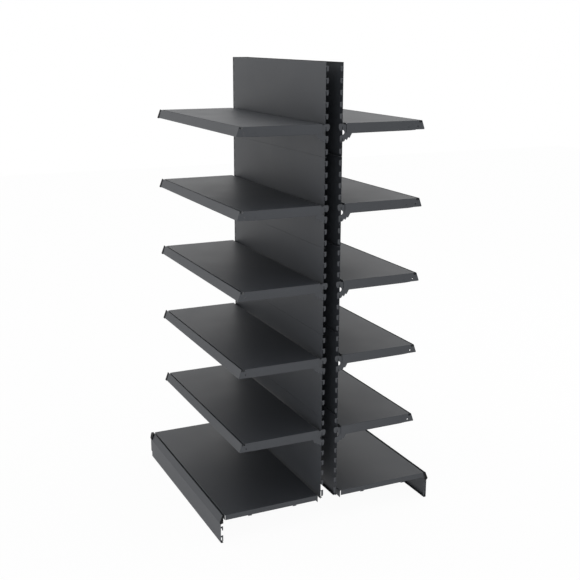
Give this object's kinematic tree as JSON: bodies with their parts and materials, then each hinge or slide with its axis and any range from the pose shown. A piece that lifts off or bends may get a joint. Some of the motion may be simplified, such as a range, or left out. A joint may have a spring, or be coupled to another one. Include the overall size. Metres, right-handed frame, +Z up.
{
  "type": "gondola shelving",
  "caption": "Double-sided gondola shelving bay: steel shelves on hook-in brackets along both faces of a panelled back, with base decks and kick plates.",
  "frame": {"origin": "floor level, at the middle of the bay's length and depth", "axes": "+X along the run to the open end, +Y to the rear side, +Z up"},
  "size_m": [1.0578, 1.1068, 2.121],
  "materials": {
    "frame_coat": "semi-gloss powder coat",
    "panel_coat": "semi-gloss powder coat",
    "shelf_coat": "semi-gloss powder coat",
    "zinc_steel": "zinc plated",
    "black_plastic": "moulded, matte"
  },
  "bodies": {
    "frame": {"upright": "frame_coat", "upright_cap": "black_plastic", "upright_insert": "black_plastic", "front_leg": "frame_coat", "rear_leg": "frame_coat", "leg_bolts": "zinc_steel", "leg_nuts": "zinc_steel", "front_panel_1": "panel_coat", "front_panel_2": "panel_coat", "front_panel_3": "panel_coat", "front_panel_4": "panel_coat", "front_panel_5": "panel_coat", "rear_panel_1": "panel_coat", "rear_panel_2": "panel_coat", "rear_panel_3": "panel_coat", "rear_panel_4": "panel_coat", "rear_panel_5": "panel_coat"},
    "front_shelf_1": {"front_tray_1": "shelf_coat", "front_bracket_near_1": "frame_coat", "front_bracket_far_1": "frame_coat"},
    "front_shelf_2": {"front_tray_2": "shelf_coat", "front_bracket_near_2": "frame_coat", "front_bracket_far_2": "frame_coat"},
    "front_shelf_3": {"front_tray_3": "shelf_coat", "front_bracket_near_3": "frame_coat", "front_bracket_far_3": "frame_coat"},
    "front_shelf_4": {"front_tray_4": "shelf_coat", "front_bracket_near_4": "frame_coat", "front_bracket_far_4": "frame_coat"},
    "front_shelf_5": {"front_tray_5": "shelf_coat", "front_bracket_near_5": "frame_coat", "front_bracket_far_5": "frame_coat"},
    "front_base_deck": {"front_deck": "shelf_coat"},
    "front_kick": {"front_kick_plate": "shelf_coat", "front_kick_plugs": "black_plastic"},
    "rear_shelf_1": {"rear_tray_1": "shelf_coat", "rear_bracket_near_1": "frame_coat", "rear_bracket_far_1": "frame_coat"},
    "rear_shelf_2": {"rear_tray_2": "shelf_coat", "rear_bracket_near_2": "frame_coat", "rear_bracket_far_2": "frame_coat"},
    "rear_shelf_3": {"rear_tray_3": "shelf_coat", "rear_bracket_near_3": "frame_coat", "rear_bracket_far_3": "frame_coat"},
    "rear_shelf_4": {"rear_tray_4": "shelf_coat", "rear_bracket_near_4": "frame_coat", "rear_bracket_far_4": "frame_coat"},
    "rear_shelf_5": {"rear_tray_5": "shelf_coat", "rear_bracket_near_5": "frame_coat", "rear_bracket_far_5": "frame_coat"},
    "rear_base_deck": {"rear_deck": "shelf_coat"},
    "rear_kick": {"rear_kick_plate": "shelf_coat", "rear_kick_plugs": "black_plastic"},
    "front_foot": {"front_foot_stem": "zinc_steel", "front_foot_pad": "black_plastic"},
    "rear_foot": {"rear_foot_stem": "zinc_steel", "rear_foot_pad": "black_plastic"},
    "upright_foot": {"upright_foot_stem": "zinc_steel", "upright_foot_pad": "black_plastic"}
  },
  "joints": [
    {"name": "front_shelf_1_unhook", "type": "slide", "parent": "frame", "child": "front_shelf_1", "axis": [0, 0, 1], "range_m": [0, 0.017]},
    {"name": "front_shelf_2_unhook", "type": "slide", "parent": "frame", "child": "front_shelf_2", "axis": [0, 0, 1], "range_m": [0, 0.017]},
    {"name": "front_shelf_3_unhook", "type": "slide", "parent": "frame", "child": "front_shelf_3", "axis": [0, 0, 1], "range_m": [0, 0.017]},
    {"name": "front_shelf_4_unhook", "type": "slide", "parent": "frame", "child": "front_shelf_4", "axis": [0, 0, 1], "range_m": [0, 0.017]},
    {"name": "front_shelf_5_unhook", "type": "slide", "parent": "frame", "child": "front_shelf_5", "axis": [0, 0, 1], "range_m": [0, 0.017]},
    {"name": "front_base_deck_lift", "type": "slide", "parent": "frame", "child": "front_base_deck", "axis": [0, 0, 1], "range_m": [0, 0.06]},
    {"name": "front_kick_pull", "type": "slide", "parent": "frame", "child": "front_kick", "axis": [0, -1, 0], "range_m": [0, 0.05]},
    {"name": "rear_shelf_1_unhook", "type": "slide", "parent": "frame", "child": "rear_shelf_1", "axis": [0, 0, 1], "range_m": [0, 0.017]},
    {"name": "rear_shelf_2_unhook", "type": "slide", "parent": "frame", "child": "rear_shelf_2", "axis": [0, 0, 1], "range_m": [0, 0.017]},
    {"name": "rear_shelf_3_unhook", "type": "slide", "parent": "frame", "child": "rear_shelf_3", "axis": [0, 0, 1], "range_m": [0, 0.017]},
    {"name": "rear_shelf_4_unhook", "type": "slide", "parent": "frame", "child": "rear_shelf_4", "axis": [0, 0, 1], "range_m": [0, 0.017]},
    {"name": "rear_shelf_5_unhook", "type": "slide", "parent": "frame", "child": "rear_shelf_5", "axis": [0, 0, 1], "range_m": [0, 0.017]},
    {"name": "rear_base_deck_lift", "type": "slide", "parent": "frame", "child": "rear_base_deck", "axis": [0, 0, 1], "range_m": [0, 0.06]},
    {"name": "rear_kick_pull", "type": "slide", "parent": "frame", "child": "rear_kick", "axis": [0, 1, 0], "range_m": [0, 0.05]},
    {"name": "front_foot_level", "type": "slide", "parent": "frame", "child": "front_foot", "axis": [0, 0, -1], "range_m": [-0.005, 0.015]},
    {"name": "rear_foot_level", "type": "slide", "parent": "frame", "child": "rear_foot", "axis": [0, 0, -1], "range_m": [-0.005, 0.015]},
    {"name": "upright_foot_level", "type": "slide", "parent": "frame", "child": "upright_foot", "axis": [0, 0, -1], "range_m": [-0.005, 0.015]}
  ]
}
